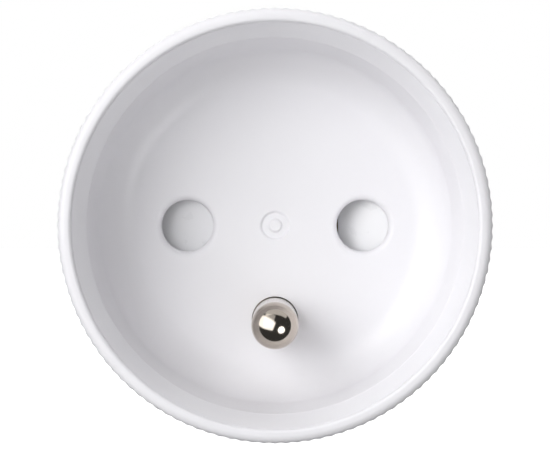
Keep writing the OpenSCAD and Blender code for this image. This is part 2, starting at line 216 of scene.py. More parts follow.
noiseSpan = (0.3, 0.7)  # most of a noise's values lie between these


# A noise value from low to high. scale is in cells per metre.
def noiseBetween(tree, place, scale, low, high, detail=3):
    noise = addNode(tree, "ShaderNodeTexNoise", {"Vector": place, "Scale": scale, "Detail": detail})
    return ranged(tree, noise.outputs["Fac"], low, high, *noiseSpan)


# A colour between two colours, by a factor. Each is a socket or three numbers.
def mixedColour(tree, factor, first, second):
    first, second = [c if isinstance(c, bpy.types.NodeSocket) else (*c, 1) for c in (first, second)]
    inputs = {"Factor": factor, 6: first, 7: second}
    return addNode(tree, "ShaderNodeMix", inputs, data_type="RGBA").outputs[2]


# Raises the surface by a height value times a depth in metres.
def raised(tree, height, depth, before=None):
    inputs = {"Height": height, "Distance": depth}
    if before is not None:
        inputs["Normal"] = before
    return addNode(tree, "ShaderNodeBump", inputs).outputs["Normal"]


# Two values joined by one operation.
def combined(tree, operation, first, second=0.0):
    return addNode(tree, "ShaderNodeMath", {0: first, 1: second}, operation=operation).outputs[0]


# Roughness between the look's two values, in patches.
def patchy(tree, place, look):
    return noiseBetween(tree, place, look["patchScale"], *look["roughness"])


# Bump: a fine noise times the look's depth.
def grainy(tree, place, look, detail=3):
    return raised(tree, noiseBetween(tree, place, look["grainScale"], 0, 1, detail), look["grainDepth"])


plasticFinish = {"patchScale": 700, "patchRange": 0.04, "grainDetail": 5, "ior": 1.46}


# Moulded plastic: colour = base mixed with its drift by broad clouds, bump = fine eroded grain times its
# depth, roughness = its mean plus or minus a range by middle-sized patches, and an even glow of the same
# colour, which is painted light: it lifts the plastic's shade as if light came through it.
def mouldedPlastic(name, look):
    material, tree, shader, place = startMaterial(name)
    cloud = noiseBetween(tree, place, look["cloudScale"], 0, 1)
    middle, spread = look["roughness"], plasticFinish["patchRange"]
    patches = noiseBetween(tree, place, plasticFinish["patchScale"], middle - spread, middle + spread)
    setInputs(tree, shader, {
        "Base Color": mixedColour(tree, cloud, look["colour"], look["drift"]), "Roughness": patches,
        "Normal": grainy(tree, place, look, plasticFinish["grainDetail"]), "IOR": plasticFinish["ior"],
        # painted glow: this emission lifts the plastic's shade, the part is no lamp
        "Emission Color": mixedColour(tree, cloud, (1, 1, 1), look["drift"]),
        "Emission Strength": look.get("glow", 0)})
    return material


metalFinish = {"lineDetail": 4, "tarnishScale": 260, "tarnishShare": 0.35, "smoothest": 0.8, "roughest": 1.3}


# Worked metal: bump = fine lines times their depth, roughness = its mean times a factor that varies with
# the lines, colour = base mixed with its tarnish by clouds, up to a share.
def workedMetal(name, look):
    material, tree, shader, place = startMaterial(name)
    lines = noiseBetween(tree, stretched(tree, place, look["stretch"]), 1, 0, 1, metalFinish["lineDetail"])
    tarnish = noiseBetween(tree, place, metalFinish["tarnishScale"], 0,
                           look.get("tarnishShare", metalFinish["tarnishShare"]))
    low, high = look["roughness"] * metalFinish["smoothest"], look["roughness"] * metalFinish["roughest"]
    setInputs(tree, shader, {"Base Color": mixedColour(tree, tarnish, look["colour"], look["tarnish"]),
                             "Roughness": ranged(tree, lines, low, high),
                             "Normal": raised(tree, lines, look["lineDepth"]), "Metallic": 1.0})
    return material


housingLook = {"colour": (0.837, 0.831, 0.858), "drift": (0.82, 0.813, 0.843), "cloudScale": 60,
               "roughness": 0.42, "grainScale": 5200, "grainDepth": 2e-6}


# Satin white plastic of the body.
def housingPlastic():
    return mouldedPlastic("housing_plastic", housingLook)


socketLook = {"colour": (0.861, 0.855, 0.880), "drift": (0.847, 0.840, 0.868), "cloudScale": 70,
              "roughness": 0.38, "grainScale": 6500, "grainDepth": 1.2e-6}


# Smoother white plastic of the bowl.
def socketPlastic():
    return mouldedPlastic("socket_plastic", socketLook)


# glow: painted light that lifts the band's shade
diffuserLook = {"colour": (0.79, 0.785, 0.81), "drift": (0.77, 0.765, 0.793), "cloudScale": 90,
                "roughness": 0.4, "grainScale": 4200, "grainDepth": 1.5e-6, "glow": 0.079}


# Milky plastic of the light band, with a faint even painted glow that lifts its shaded side as if light came
# through it.
def diffuserPlastic():
    return mouldedPlastic("light_diffuser", diffuserLook)


# glow: painted light that lightens the shutter's shade in the holes
shutterLook = {"colour": (0.83, 0.83, 0.85), "drift": (0.81, 0.81, 0.83), "cloudScale": 120, "roughness": 0.3,
               "grainScale": 8000, "grainDepth": 1e-6, "glow": 0.042}


# Slippery white plastic of the shutter, with a faint even painted glow that lightens the shade in the holes.
def shutterPlastic():
    return mouldedPlastic("shutter_plastic", shutterLook)


innerLook = {"colour": (0.72, 0.72, 0.73), "drift": (0.68, 0.68, 0.70), "cloudScale": 150, "roughness": 0.5,
             "grainScale": 3500, "grainDepth": 4e-6}


# Unpolished plastic of the hidden retainer.
def innerPlastic():
    return mouldedPlastic("inner_plastic", innerLook)


baseLook = {"colour": (0.83, 0.83, 0.845), "drift": (0.81, 0.81, 0.83), "cloudScale": 60, "roughness": 0.45,
            "grainScale": 4500, "grainDepth": 3e-6}


# White plastic of the plug.
def basePlastic():
    return mouldedPlastic("base_plastic", baseLook)


relayLook = {"colour": (0.018, 0.02, 0.024), "drift": (0.028, 0.03, 0.034), "cloudScale": 200,
             "roughness": 0.5, "grainScale": 3000, "grainDepth": 8e-6}


# Black case of the relay, with a spark-eroded grain.
def relayBlack():
    return mouldedPlastic("relay_black", relayLook)


chipLook = {"colour": (0.02, 0.02, 0.022), "drift": (0.035, 0.035, 0.036), "cloudScale": 500,
            "roughness": 0.6, "grainScale": 9000, "grainDepth": 4e-6}


# Black epoxy of the metering chip.
def chipBlack():
    return mouldedPlastic("chip_black", chipLook)


switchLook = {"colour": (0.022, 0.022, 0.024), "drift": (0.04, 0.04, 0.042), "cloudScale": 400,
              "roughness": 0.45, "grainScale": 5000, "grainDepth": 4e-6}


# Black plastic of the switch.
def switchBlack():
    return mouldedPlastic("switch_black", switchLook)


capacitorLook = {"colour": (0.62, 0.62, 0.6), "drift": (0.56, 0.56, 0.545), "cloudScale": 260,
                 "roughness": 0.4, "grainScale": 2600, "grainDepth": 8e-6}


# Grey potted box of the mains capacitor.
def capacitorGrey():
    return mouldedPlastic("capacitor_grey", capacitorLook)


nickelLook = {"colour": (0.585, 0.525, 0.46), "tarnish": (0.51, 0.45, 0.39), "roughness": 0.11,
              "stretch": (300, 26000, 300), "lineDepth": 3e-7, "tarnishShare": 0.3}


# Polished nickel of the pins, with turning lines round them.
def pinNickel():
    return workedMetal("nickel", nickelLook)


clipLook = {"colour": (0.72, 0.71, 0.69), "tarnish": (0.55, 0.53, 0.5), "roughness": 0.28,
            "stretch": (14000, 500, 500), "lineDepth": 1.5e-6}


# Rolled and plated strip of the side contacts.
def clipNickel():
    return workedMetal("clip_nickel", clipLook)


brassLook = {"colour": (0.62, 0.44, 0.18), "tarnish": (0.38, 0.25, 0.1), "roughness": 0.3,
             "stretch": (500, 12000, 500), "lineDepth": 1.2e-6, "tarnishShare": 0.5}


# Brass of the contact sleeves.
def contactBrass():
    return workedMetal("contact_brass", brassLook)


copperLook = {"colour": (0.78, 0.42, 0.27), "tarnish": (0.42, 0.2, 0.13), "roughness": 0.34,
              "stretch": (9000, 500, 500), "lineDepth": 1.5e-6, "tarnishShare": 0.5}


# Rolled copper of the earth parts.
def earthCopper():
    return workedMetal("earth_copper", copperLook)


springLook = {"colour": (0.6, 0.6, 0.61), "tarnish": (0.42, 0.41, 0.4), "roughness": 0.24,
              "stretch": (4000, 4000, 4000), "lineDepth": 1e-6}


# Drawn wire of the spring.
def springSteel():
    return workedMetal("spring_steel", springLook)


screwLook = {"colour": (0.58, 0.59, 0.6), "tarnish": (0.38, 0.37, 0.35), "roughness": 0.32,
             "stretch": (6000, 6000, 6000), "lineDepth": 1.5e-6}


# Zinc-plated steel of the screws.
def screwSteel():
    return workedMetal("screw_steel", screwLook)


shieldLook = {"colour": (0.66, 0.66, 0.67), "tarnish": (0.5, 0.5, 0.5), "roughness": 0.35,
              "stretch": (7000, 600, 600), "lineDepth": 1.2e-6}


# Tinned sheet of the shielding can.
def shieldTin():
    return workedMetal("shield_tin", shieldLook)


shuntLook = {"colour": (0.62, 0.48, 0.38), "tarnish": (0.45, 0.33, 0.25), "roughness": 0.4,
             "stretch": (9000, 700, 700), "lineDepth": 2e-6}


# Copper-nickel alloy of the shunt.
def shuntAlloy():
    return workedMetal("shunt_alloy", shuntLook)


headerLook = {"colour": (0.8, 0.62, 0.27), "tarnish": (0.62, 0.45, 0.18), "roughness": 0.25,
              "stretch": (500, 9000, 500), "lineDepth": 1e-6, "bodyColour": (0.02, 0.02, 0.022),
              "bodyFrom": -0.0098, "bodyTo": -0.0075}


# Pin strip: gilt pins, and a black carrier between two heights along Y.
def headerPins():
    material = workedMetal("header_pins", headerLook)
    tree = material.node_tree
    shader = tree.nodes["Principled BSDF"]
    place = addNode(tree, "ShaderNodeTexCoord").outputs["Object"]
    along = addNode(tree, "ShaderNodeSeparateXYZ", {0: place}).outputs["Y"]
    above = combined(tree, "GREATER_THAN", along, headerLook["bodyFrom"])
    below = combined(tree, "LESS_THAN", along, headerLook["bodyTo"])
    carrier = combined(tree, "MULTIPLY", above, below)
    gilt = shader.inputs["Base Color"].links[0].from_socket
    setInputs(tree, shader, {"Base Color": mixedColour(tree, carrier, gilt, headerLook["bodyColour"]),
                             "Metallic": combined(tree, "SUBTRACT", 1.0, carrier)})
    return material


boardLook = {"mask": (0.015, 0.16, 0.06), "copperUnder": (0.03, 0.26, 0.1), "trackScale": 520,
             "trackFrom": 0.46, "weaveScale": 2200, "weaveBend": 1.5, "weaveDepth": 1e-6, "trackDepth": 2e-5,
             "patchScale": 900, "roughness": (0.25, 0.38)}


# Printed board: lacquer over tracks, with a fine weave in the bump. The tracks are raised a little and lie
# where the distance from the middle of a square cell is more than a share of the cell.
def boardGreen():
    material, tree, shader, place = startMaterial("board_green")
    cells = addNode(tree, "ShaderNodeTexVoronoi", {"Vector": place, "Scale": boardLook["trackScale"]},
                    distance="CHEBYCHEV", feature="F1")
    track = combined(tree, "GREATER_THAN", cells.outputs["Distance"], boardLook["trackFrom"])
    weave = addNode(tree, "ShaderNodeTexWave", {"Vector": place, "Scale": boardLook["weaveScale"],
                                                "Distortion": boardLook["weaveBend"]})
    woven = raised(tree, weave.outputs["Fac"], boardLook["weaveDepth"])
    setInputs(tree, shader, {
        "Base Color": mixedColour(tree, track, boardLook["mask"], boardLook["copperUnder"]),
        "Normal": raised(tree, track, boardLook["trackDepth"], woven),
        "Roughness": patchy(tree, place, boardLook)})
    return material


tapeLook = {"tape": (0.72, 0.52, 0.06), "overlap": (0.6, 0.41, 0.04), "core": (0.035, 0.033, 0.034),
            "coreFrom": -0.0158, "turnScale": 900, "turnBend": 0.6, "turnDepth": 2e-5, "patchScale": 1500,
            "roughness": (0.3, 0.5)}


# Transformer: yellow tape in overlapping turns, and dark ferrite beyond one height along Y.
def tapeYellow():
    material, tree, shader, place = startMaterial("tape_yellow")
    along = addNode(tree, "ShaderNodeSeparateXYZ", {0: place}).outputs["Y"]
    turn = addNode(tree, "ShaderNodeTexWave", {"Vector": place, "Scale": tapeLook["turnScale"],
                                               "Distortion": tapeLook["turnBend"]},
                   bands_direction="Y", wave_profile="SAW").outputs["Fac"]
    ferrite = combined(tree, "LESS_THAN", along, tapeLook["coreFrom"])
    tape = mixedColour(tree, turn, tapeLook["tape"], tapeLook["overlap"])
    setInputs(tree, shader, {"Base Color": mixedColour(tree, ferrite, tape, tapeLook["core"]),
                             "Normal": raised(tree, turn, tapeLook["turnDepth"]),
                             "Roughness": patchy(tree, place, tapeLook)})
    return material


sleeveLook = {"film": (0.02, 0.035, 0.1), "stripe": (0.5, 0.5, 0.52), "can": (0.7, 0.7, 0.71),
              "topAt": -0.0184, "centre": (-0.0085, 0, -0.0085), "stripeHalf": 0.0011, "patchScale": 1200,
              "roughness": (0.22, 0.36), "grainScale": 2500, "grainDepth": 3e-6}


# Capacitor can: dark film with one pale stripe down its side, and bare aluminium on the top.
def capacitorSleeve():
    material, tree, shader, place = startMaterial("capacitor_sleeve")
    local = addNode(tree, "ShaderNodeVectorMath", {0: place, 1: sleeveLook["centre"]},
                    operation="SUBTRACT").outputs[0]
    parts = addNode(tree, "ShaderNodeSeparateXYZ", {0: local})
    width = combined(tree, "ABSOLUTE", parts.outputs["Z"])
    near = combined(tree, "LESS_THAN", width, sleeveLook["stripeHalf"])
    side = combined(tree, "LESS_THAN", parts.outputs["X"])
    stripe = combined(tree, "MULTIPLY", near, side)
    bare = combined(tree, "LESS_THAN", parts.outputs["Y"], sleeveLook["topAt"])
    film = mixedColour(tree, stripe, sleeveLook["film"], sleeveLook["stripe"])
    setInputs(tree, shader, {"Base Color": mixedColour(tree, bare, film, sleeveLook["can"]), "Metallic": bare,
                             "Roughness": patchy(tree, place, sleeveLook),
                             "Normal": grainy(tree, place, sleeveLook)})
    return material


resistorLook = {"lacquer": (0.09, 0.2, 0.11),
                "bands": ((0.3, 0.04, 0.02), (0.02, 0.02, 0.02), (0.6, 0.42, 0.08)), "span": 0.003,
                "bandFrom": 0.22, "bandWidth": 0.09, "bandStep": 0.2, "dust": (0.2, 0.2, 0.18),
                "dustScale": 900, "dustShare": 0.25, "grainScale": 1800, "grainDepth": 8e-6,
                "roughness": 0.35}


# Fusible resistor: lacquer with three coloured bands at steps along X.
def resistorGreen():
    material, tree, shader, place = startMaterial("resistor_green")
    along = addNode(tree, "ShaderNodeSeparateXYZ", {0: place}).outputs["X"]
    share = ranged(tree, along, 0, 1, -resistorLook["span"], resistorLook["span"])
    ramp = addNode(tree, "ShaderNodeValToRGB", {"Fac": share})
    ramp.color_ramp.interpolation = "CONSTANT"
    stops = [(0.0, resistorLook["lacquer"])]
    for i, band in enumerate(resistorLook["bands"]):
        start = resistorLook["bandFrom"] + resistorLook["bandStep"] * i
        stops += [(start, band), (start + resistorLook["bandWidth"], resistorLook["lacquer"])]
    ramp.color_ramp.elements[0].color = (*stops[0][1], 1)
    ramp.color_ramp.elements[1].position = stops[1][0]
    ramp.color_ramp.elements[1].color = (*stops[1][1], 1)
    for position, colour in stops[2:]:
        ramp.color_ramp.elements.new(position).color = (*colour, 1)
    cloud = noiseBetween(tree, place, resistorLook["dustScale"], 0, resistorLook["dustShare"])
    setInputs(tree, shader, {
        "Base Color": mixedColour(tree, cloud, ramp.outputs["Color"], resistorLook["dust"]),
        "Normal": grainy(tree, place, resistorLook), "Roughness": resistorLook["roughness"]})
    return material


ledLook = {"lens": (0.86, 0.84, 0.62), "phosphor": (0.85, 0.62, 0.12), "spotScale": 1300, "patchScale": 2500,
           "roughness": (0.15, 0.3), "milk": 0.3, "milkDepth": 0.0004}


# White lamp chips: a yellowish phosphor in blurred spots under a clear lens.
def ledYellow():
    material, tree, shader, place = startMaterial("led_yellow")
    spots = noiseBetween(tree, place, ledLook["spotScale"], 0, 1, 1)
    setInputs(tree, shader, {"Base Color": mixedColour(tree, spots, ledLook["lens"], ledLook["phosphor"]),
                             "Roughness": patchy(tree, place, ledLook), "Subsurface Weight": ledLook["milk"],
                             "Subsurface Scale": ledLook["milkDepth"]})
    return material


housing = housingPlastic()
socketWhite = socketPlastic()
nickel = pinNickel()
print("materials ready")


shellShape = {"ribs": 120, "ribHeight": 0.1, "ribLift": 0.05, "radius": 21.85, "bore": 20.5, "heel": 15.0,
              "rim": 46.0, "rounding": 0.8, "innerRounding": 0.36, "backHole": 18.45, "backWall": 1.0,
              "ribStart": 16.1, "ribEnd": 45.05, "ribFade": 0.35, "columnsPerRib": 8, "windowLow": 17.7,
              "windowHigh": 24.5, "windowRows": 20, "windowRibs": 3, "buttonHeight": 21.1, "buttonHole": 2.62,
              "holeLip": 0.22, "plainRows": (28, 32, 36, 40), "fadeBunching": 1.6, "fadeAtHole": 0.7}


# How high a rib stands at an angle: a cosine wave with one crest for each rib.
def ribHeight(angle, s):
    return s["ribHeight"] * (0.5 + 0.5 * np.cos(angle * s["ribs"]))


# How much of the ribs is left at a height: they grow and fade as a quarter circle at each end.
def ribShare(height, s):
    rise = np.clip((height - s["ribStart"]) / s["ribFade"], 0, 1)
    fall = np.clip((s["ribEnd"] - height) / s["ribFade"], 0, 1)
    return np.sqrt(1 - (1 - rise) ** 2) * np.sqrt(1 - (1 - fall) ** 2)


# The shell's outline turned about the axis, with ribs added to its outer wall and a tunnel for the button.
def ribbedShell():
    s = shellShape
    count = s["ribs"] * s["columnsPerRib"]
    window = np.linspace(s["windowLow"], s["windowHigh"], s["windowRows"] + 1)
    fade = s["ribFade"] * np.linspace(0, 1, 6) ** s["fadeBunching"]
    outerHeights = np.concatenate([s["ribStart"] + fade, window, s["plainRows"], (s["ribEnd"] - fade)[::-1]])
    heel = roundOutline([[s["backHole"], s["heel"], 0.1], [s["radius"], s["heel"], s["rounding"]],
                         [s["radius"], s["ribStart"], 0]], steps=10)[1:-1]
    back = np.array([[s["backHole"], s["heel"] + s["backWall"]], [s["backHole"], s["heel"] + 0.1],
                     [s["backHole"] + 0.1, s["heel"]]])
    outer = np.stack([np.full(len(outerHeights), s["radius"]), outerHeights], -1)
    rim = roundOutline([[s["radius"], s["ribEnd"], 0], [s["radius"], s["rim"], s["rounding"]],
                        [s["bore"], s["rim"], s["innerRounding"]], [s["bore"], s["plainRows"][-1], 0]],
                       steps=10)[1:-1]
    inner = np.stack([np.full(len(window), s["bore"]), window[::-1]], -1)
    foot = roundOutline([[s["bore"], s["windowLow"], 0], [s["bore"], s["heel"] + s["backWall"], 0.3],
                         [s["backHole"], s["heel"] + s["backWall"], 0]])[1:-1]
    outline = np.concatenate([back, heel, outer, rim, inner, foot])
    outerStart = len(back) + len(heel)
    outerRows = outerStart + len(fade) + np.arange(len(window))
    innerRows = len(outline) - len(foot) - 1 - np.arange(len(window))
    angle = np.linspace(0, 2 * np.pi, count, endpoint=False)
    radius = np.repeat(outline[:, :1], count, 1)
    height = np.repeat(outline[:, 1:2], count, 1)
    onWall = slice(outerStart, outerStart + len(outerHeights))
    radius[onWall] += ribShare(height[onWall], s) * (s["ribLift"] + ribHeight(angle, s))
    points = np.stack([radius * np.cos(angle), radius * np.sin(angle), height], -1).reshape(-1, 3)

    columns = count // 4 + np.arange(-s["windowRibs"] * s["columnsPerRib"],
                                     s["windowRibs"] * s["columnsPerRib"] + 1)
    keep = np.ones((len(outline), count), bool)
    openWindow(keep, outerRows, columns)
    openWindow(keep, innerRows, columns)
    faces = gridFaces(len(outline), count, True)[keep]
    outerEdge, innerEdge = windowEdge(outerRows, columns, count), windowEdge(innerRows, columns, count)
    rings = buttonTunnel(points[outerEdge], points[innerEdge], s)
    tunnel = tunnelFaces(outerEdge, rings, innerEdge, len(points))
    piece = addPiece("ribbed_shell", np.concatenate([points, rings.reshape(-1, 3)]), [faces, tunnel], housing)
    return standFor(piece, "housing", "housing_plastic", "housing_shell")


# A flat ring laid on a cylinder about the axis: y = root of (radius squared minus x squared), minus a depth.
def onCylinder(flat, radius, height, depth=0):
    return np.stack([flat[:, 0], np.sqrt(radius ** 2 - flat[:, 0] ** 2) - depth, flat[:, 1] + height], -1)


# Rings of the button's hole. Outside, each ring moves from the window's edge towards the hole while the
# ribs fade; then come the lip, the wall of the hole and the rings back out to the inner window.
def buttonTunnel(outerEdge, innerEdge, s):
    across, up = outerEdge[:, 0], outerEdge[:, 2] - s["buttonHeight"]
    turn = np.arctan2(up, across)
    ring = np.stack([np.cos(turn), np.sin(turn)], -1)
    lipRadius = s["buttonHole"] + s["holeLip"]
    rings = []
    for share in np.linspace(0, 1, 9)[1:]:
        flat = (1 - share) * np.stack([across, up], -1) + share * lipRadius * ring
        angle = np.arctan2(np.sqrt(np.maximum(s["radius"] ** 2 - flat[:, 0] ** 2, 0)), flat[:, 0])
        radius = s["radius"] + (1 - share) ** s["fadeAtHole"] * (s["ribLift"] + ribHeight(angle, s))
        rings.append(onCylinder(flat, radius, s["buttonHeight"]))
    for quarter in np.linspace(0, np.pi / 2, 6)[1:]:
        flat = ring * (s["buttonHole"] + s["holeLip"] * (1 - math.sin(quarter)))
        depth = s["holeLip"] * (1 - math.cos(quarter))
        rings.append(onCylinder(flat, s["radius"], s["buttonHeight"], depth))
    inward, innerUp = innerEdge[:, 0], innerEdge[:, 2] - s["buttonHeight"]
    for share in np.linspace(0, 1, 5)[:-1]:
        flat = (1 - share) * s["buttonHole"] * ring + share * np.stack([inward, innerUp], -1)
        rings.append(onCylinder(flat, s["bore"], s["buttonHeight"]))
    return np.stack(rings)


bandShape = {"outerRadius": 20.495, "skirtBottom": 25.2, "lip": 45.46, "lipRadius": 20.45, "lowRadius": 19.43,
             "low": 41.0, "skirtInner": 19.95, "columns": 360}


# The light band and its skirt: one outline turned about the axis.
def lightBand():
    s = bandShape
    outline = roundOutline([[s["outerRadius"], s["skirtBottom"], 0.08], [s["outerRadius"], s["lip"], 0.01],
                            [s["lipRadius"], s["lip"], 0.015], [s["lowRadius"], s["low"], 0.06],
                            [s["skirtInner"], s["low"], 0.04], [s["skirtInner"], s["skirtBottom"], 0.08]],
                           closed=True)
    points, faces = turnOutline(outline, s["columns"], closed=True)
    return standFor(addPiece("light_band", points, faces, diffuserPlastic()), "housing", "light_diffuser",
                    "light_ring")


bowlShape = {"floor": 31.0, "thickness": 1.0, "blend": 4.0, "blendRadius": 14.9, "topRadius": 19.43,
             "top": 40.95, "outerRadius": 19.9, "columns": 360, "windowInner": 5.4, "windowOuter": 13.8,
             "windowRows": 24, "holeRadius": 2.8, "holeSpacing": 19.0, "lip": 0.65, "earthHole": 2.51,
             "earthDrop": 10.2, "earthLip": 0.05, "markRadius": 1.48, "markDepth": 0.3, "markSlope": 0.1,
             "nubRadius": 0.69, "nubSlope": 0.09, "nubDrop": 0.02, "bossRadius": 1.9, "bossBore": 0.85,
             "bossBottom": 25.85, "bossRoof": 0.9, "bossTop": 0.6, "bossColumns": 48}
bossPlaces = ((0.0, 12.5), (12.5, -9.5), (-12.5, -9.5))


# The bowl: an outline from the middle of the floor, up the wall and back below, turned about the axis. Three
# windows in the floor become tunnels for the live, neutral and earth pins.
def socketBowl():
    s = bowlShape
    count, floor = s["columns"], s["floor"]
    blendCentre = np.array([[s["blendRadius"], floor + s["blend"]]])
    arc = np.concatenate([np.sin(quarterTurn), -np.cos(quarterTurn)], 1)
    windowRadii = np.linspace(s["windowInner"], s["windowOuter"], s["windowRows"] + 1)
    mark = roundOutline([[0, floor - s["nubDrop"], 0],
                         [s["nubRadius"] - s["nubSlope"], floor - s["nubDrop"], 0.16],
                         [s["nubRadius"] + s["nubSlope"], floor - s["markDepth"], 0.1],
                         [s["markRadius"] - s["markSlope"], floor - s["markDepth"], 0.14],
                         [s["markRadius"] + s["markSlope"], floor, 0.2], [s["windowInner"], floor, 0]])[:-1]
    floorRows = np.stack([windowRadii, np.full(len(windowRadii), floor)], -1)
    wall = roundOutline([[s["blendRadius"] + s["blend"], floor + s["blend"] + 1, 0],
                         [s["topRadius"], s["top"], 0.08], [s["outerRadius"], s["top"], 0.06],
                         [s["outerRadius"], floor + s["blend"] + 1, 0]], steps=4)
    under = arc[::-1] * (s["blend"] + s["thickness"]) + blendCentre
    below = np.stack([windowRadii[::-1], np.full(len(windowRadii), floor - s["thickness"])], -1)
    rows = [mark, floorRows, [[s["blendRadius"] - 0.2, floor]], arc * s["blend"] + blendCentre, wall, under,
            [[s["blendRadius"] - 0.2, floor - s["thickness"]]], below, [[0, floor - s["thickness"]]]]
    outline = np.concatenate([np.asarray(part, float) for part in rows])
    points, faces = turnOutline(outline, count)
    topRows = len(mark) - 1 + np.arange(len(windowRadii))
    lowRows = len(outline) - 3 - np.arange(len(windowRadii))
    keep = np.ones((len(outline) - 3, count), bool)
    tunnels = []
    half = s["holeSpacing"] / 2
    holes = ((0, 27, (half, 0), s["holeRadius"], s["lip"]), (180, 27, (-half, 0), s["holeRadius"], s["lip"]),
             (270, 24, (0, -s["earthDrop"]), s["earthHole"], s["earthLip"]))
    for middle, spread, centre, radius, lip in holes:  # middle column and half width of its window, hole, lip
        columns = middle + np.arange(-spread, spread + 1)
        openWindow(keep, topRows, columns)
        openWindow(keep, lowRows, columns)
        topEdge, lowEdge = windowEdge(topRows, columns, count), windowEdge(lowRows, columns, count)
        rings = floorTunnel(points[topEdge], points[lowEdge], centre, radius, lip)
        tunnels.append(tunnelFaces(topEdge, rings, lowEdge, len(points)))
        points = np.concatenate([points, rings.reshape(-1, 3)])
    grid = gridFaces(len(outline) - 2, count)[keep]
    boss = roundOutline([[0, floor - s["bossRoof"], 0], [s["bossBore"], floor - s["bossRoof"], 0.05],
                         [s["bossBore"], s["bossBottom"], 0.1], [s["bossRadius"], s["bossBottom"], 0.15],
                         [s["bossRadius"], floor - s["bossTop"], 0.1], [0, floor - s["bossTop"], 0]])
    bosses = [turnOutline(boss, s["bossColumns"], place) for place in bossPlaces]
    points, faces = joinShells([(points, [grid, *tunnels, *faces[1:]]), *bosses])
    piece = addPiece("socket_bowl", points, faces, socketWhite)
    return standFor(piece, "housing", "socket_plastic", "socket_insert")


# Rings of one round hole through the floor: the flat round it, its rounded lip, its wall and the underside.
def floorTunnel(topEdge, lowEdge, centre, radius, lip, edge=0.05):
    centre = np.asarray(centre, float)
    away = topEdge[:, :2] - centre
    ring = away / np.linalg.norm(away, axis=1)[:, None]
    top, low = topEdge[0, 2], lowEdge[0, 2]
    rings = []
    for share in (0.3, 0.6, 0.85, 0.96):
        rings.append((centre + (1 - share) * away + share * (radius + lip) * ring, top))
    for quarter in np.linspace(0, np.pi / 2, 9):
        lipRadius = radius + lip * (1 - math.sin(quarter))
        rings.append((centre + ring * lipRadius, top - lip * (1 - math.cos(quarter))))
    rings.append((centre + ring * radius, top - lip - edge))
    rings.append((centre + ring * radius, low + edge))
    rings.append((centre + ring * (radius + edge), low))
    for share in (0.5, 0.9):
        rings.append((centre + share * away + (1 - share) * (radius + edge) * ring, low))
    return np.stack([np.concatenate([flat, np.full((len(flat), 1), height)], 1) for flat, height in rings])


earthPinShape = {"radius": 2.43, "tip": 45.0, "neckTop": 30.5, "neckRadius": 2.1, "neckBottom": 29.9,
                 "collarRadius": 3.2, "collarBottom": 28.4, "shankRadius": 1.5, "shankBottom": 19.3,
                 "drop": 10.2, "columns": 128}


# Quarter circle from the tip to the side of a pin, as rows of (radius, height).
def roundTip(radius, tip, towards):
    height = tip - towards * radius * (1 - np.cos(quarterTurn))
    return np.concatenate([radius * np.sin(quarterTurn), height], 1)


# The earth pin with its round tip, the collar below the floor and the rivet shank.
def earthPin():
    s = earthPinShape
    low = roundOutline([[s["radius"], s["tip"] - s["radius"] - 1, 0], [s["radius"], s["neckTop"], 0.06],
                        [s["neckRadius"], s["neckTop"], 0.06], [s["neckRadius"], s["neckBottom"], 0.05],
                        [s["collarRadius"], s["neckBottom"], 0.12],
                        [s["collarRadius"], s["collarBottom"], 0.12],
                        [s["shankRadius"], s["collarBottom"], 0.1], [s["shankRadius"], s["shankBottom"], 0.3],
                        [0, s["shankBottom"], 0]])
    outline = np.concatenate([roundTip(s["radius"], s["tip"], 1), low])
    points, faces = turnOutline(outline, s["columns"], (0, -s["drop"]))
    return standFor(addPiece("earth_contact_pin", points, faces, nickel), "housing", "nickel", "earth_pin")


plugPinShape = {"radius": 2.4, "tip": -19.0, "collarRadius": 2.7, "collarTop": 2.25, "headRadius": 3.4,
                "headTop": 3.2, "stubRadius": 1.2, "stubTop": 8.45, "spacing": 19.0, "columns": 96}


# One pin of the plug, from its round tip to the stub that goes into the board.
def plugPin(name, side, node):
    s = plugPinShape
    high = roundOutline([[s["radius"], s["tip"] + s["radius"] + 1, 0], [s["radius"], 0, 0.04],
                         [s["collarRadius"], 0, 0.06], [s["collarRadius"], s["collarTop"], 0.1],
                         [s["headRadius"], s["collarTop"], 0.1], [s["headRadius"], s["headTop"], 0.12],
                         [s["stubRadius"], s["headTop"], 0.1], [s["stubRadius"], s["stubTop"], 0.25],
                         [0, s["stubTop"], 0]])
    outline = np.concatenate([roundTip(s["radius"], s["tip"], -1), high])
    points, faces = turnOutline(outline, s["columns"], (side * s["spacing"] / 2, 0))
    return standFor(addPiece(name, points, faces, nickel), "housing", "nickel", node)


# "wire" is the wire's radius, "closePitch" the pitch of the end turns as a share of the others' pitch, and
# "keep" the share of its length that is left at full stroke.
springShape = {"start": -6.45, "end": 5.2, "height": 27.6, "radius": 1.3, "wire": 0.15, "turns": 9,
               "closedTurns": 1.0, "closePitch": 0.35, "sides": 10, "stepsPerTurn": 36, "keep": 0.502}


